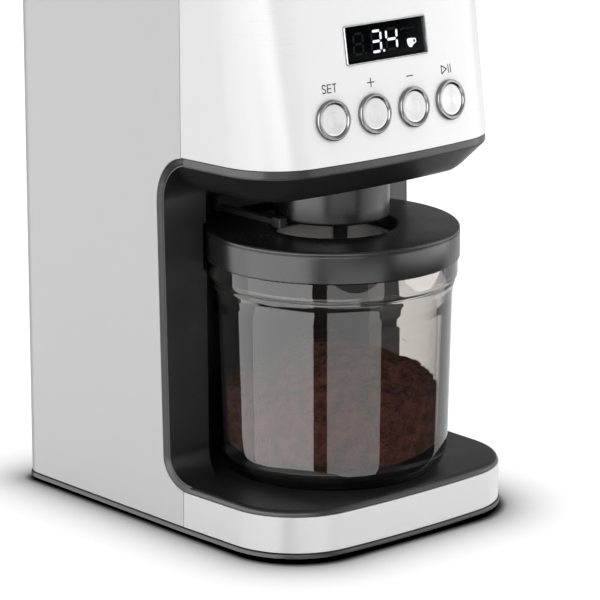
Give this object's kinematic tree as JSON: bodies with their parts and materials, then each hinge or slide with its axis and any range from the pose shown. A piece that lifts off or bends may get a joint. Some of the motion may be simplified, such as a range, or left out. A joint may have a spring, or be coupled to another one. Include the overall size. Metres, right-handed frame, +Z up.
{
  "type": "burr coffee grinder",
  "caption": "Countertop conical burr coffee grinder with a leaning control face, a catch jar standing under its chute and a bean hopper on top.",
  "frame": {"origin": "on the surface the grinder stands on, under the middle of its box", "axes": "+Z up, -Y towards the jar and the control face, +X to the user's right"},
  "size_m": [0.141, 0.18, 0.3595],
  "materials": {
    "satin_silver": "satin light grey lacquer with a fine brushed grain",
    "white_steel": "near-white satin",
    "bright_steel": "bright, finely brushed",
    "charcoal": "charcoal, satin moulded",
    "lid_black": "black, satin moulded",
    "jar_smoke": "clear with a smoky tint, polished",
    "collar_grey": "mid grey moulded",
    "coffee": "dark brown, loose granules",
    "rubber": "matt",
    "seal_clear": "translucent silicone, matt",
    "chrome": "grey chrome",
    "cap_metal": "turned, with fine circular brushing",
    "display_black": "glossy black window",
    "board_green": "circuit board",
    "steel": "machined",
    "brass": "machined",
    "nylon": "natural moulded",
    "grey_plastic": "dark grey moulded",
    "aluminium": "cast"
  },
  "bodies": {
    "housing": {"side_shell": "satin_silver", "head_front_cover": "white_steel", "c_frame": "charcoal", "base_band": "bright_steel", "base_plate": "charcoal", "foot_1": "rubber", "foot_2": "rubber", "foot_3": "rubber", "foot_4": "rubber", "base_screw_1": "steel", "base_screw_2": "steel", "base_screw_3": "steel", "base_screw_4": "steel", "top_deck": "charcoal", "cord_gland": "rubber", "display_bezel": "chrome", "display_window": "display_black", "display_module": "grey_plastic", "control_board": "board_green", "button_ring_1": "chrome", "button_ring_2": "chrome", "button_ring_3": "chrome", "button_ring_4": "chrome", "switch_1": "grey_plastic", "switch_2": "grey_plastic", "switch_3": "grey_plastic", "switch_4": "grey_plastic", "chute_neck": "lid_black", "chute_duct": "grey_plastic", "cradle_fork": "charcoal", "jar_switch": "grey_plastic", "burr_housing": "grey_plastic", "burr_bearing": "steel", "gearbox_plate": "aluminium", "idler_axle": "steel", "motor_can": "steel", "power_board": "board_green"},
    "set_button": {"button_cap_1": "cap_metal"},
    "plus_button": {"button_cap_2": "cap_metal"},
    "minus_button": {"button_cap_3": "cap_metal"},
    "start_button": {"button_cap_4": "cap_metal"},
    "burr_drive": {"inner_burr": "steel", "burr_nut": "steel", "impeller": "nylon", "burr_shaft": "steel", "output_gear": "steel"},
    "idler": {"idler_gear": "nylon"},
    "motor_rotor": {"motor_shaft": "steel", "motor_pinion": "brass"},
    "hopper_unit": {"hopper": "jar_smoke", "adjust_ring": "grey_plastic"},
    "hopper_cover": {"hopper_lid": "lid_black"},
    "ring_burr": {"outer_burr": "steel", "outer_burr_carrier": "brass"},
    "jar_unit": {"jar_body": "jar_smoke", "coffee_grounds": "coffee"},
    "jar_top": {"jar_lid": "lid_black", "jar_lid_collar": "collar_grey", "jar_seal": "seal_clear"},
    "jar_sensor": {"jar_switch_plunger": "nylon"}
  },
  "joints": [
    {"name": "set_button_press", "type": "slide", "parent": "housing", "child": "set_button", "axis": [0.0801, 0.9832, -0.1642], "range_m": [0, 0.001], "stiffness_N_per_m": 400},
    {"name": "plus_button_press", "type": "slide", "parent": "housing", "child": "plus_button", "axis": [0.0267, 0.986, -0.1647], "range_m": [0, 0.001], "stiffness_N_per_m": 400},
    {"name": "minus_button_press", "type": "slide", "parent": "housing", "child": "minus_button", "axis": [-0.0267, 0.986, -0.1647], "range_m": [0, 0.001], "stiffness_N_per_m": 400},
    {"name": "start_button_press", "type": "slide", "parent": "housing", "child": "start_button", "axis": [-0.0801, 0.9832, -0.1642], "range_m": [0, 0.001], "stiffness_N_per_m": 400},
    {"name": "motor_spin", "type": "hinge", "parent": "housing", "child": "motor_rotor", "pos_m": [0, 0.05145, 0.165], "axis": [0, 0, 1], "continuous": true},
    {"name": "idler_spin", "type": "hinge", "parent": "housing", "child": "idler", "pos_m": [0.01894, 0.02819, 0.17], "axis": [0, 0, 1], "continuous": true},
    {"name": "burr_spin", "type": "hinge", "parent": "housing", "child": "burr_drive", "pos_m": [0, 0.01345, 0.2], "axis": [0, 0, 1], "continuous": true},
    {"name": "grind_adjust", "type": "hinge", "parent": "housing", "child": "hopper_unit", "pos_m": [0, 0.01345, 0.262], "axis": [0, 0, 1], "range_deg": [0, 240]},
    {"name": "ring_burr_lift", "type": "slide", "parent": "housing", "child": "ring_burr", "axis": [0, 0, 1], "range_m": [0, 0.0018]},
    {"name": "hopper_lid_lift", "type": "slide", "parent": "hopper_unit", "child": "hopper_cover", "axis": [0, 0, 1], "range_m": [0, 0.08]},
    {"name": "jar_slide_out", "type": "slide", "parent": "housing", "child": "jar_unit", "axis": [0, -1, 0], "range_m": [0, 0.14]},
    {"name": "jar_lid_turn", "type": "hinge", "parent": "jar_unit", "child": "jar_top", "pos_m": [0, -0.03655, 0.12], "axis": [0, 0, 1], "range_deg": [0, 30]},
    {"name": "jar_sensor_press", "type": "slide", "parent": "housing", "child": "jar_sensor", "axis": [0, 1, 0], "range_m": [0, 0.002], "stiffness_N_per_m": 150}
  ],
  "couplings": [
    {"joint": "idler_spin", "follows": "motor_spin", "ratio": -0.25},
    {"joint": "burr_spin", "follows": "motor_spin", "ratio": 0.083333},
    {"joint": "ring_burr_lift", "follows": "grind_adjust", "m_per_rad": 0.00042971}
  ]
}
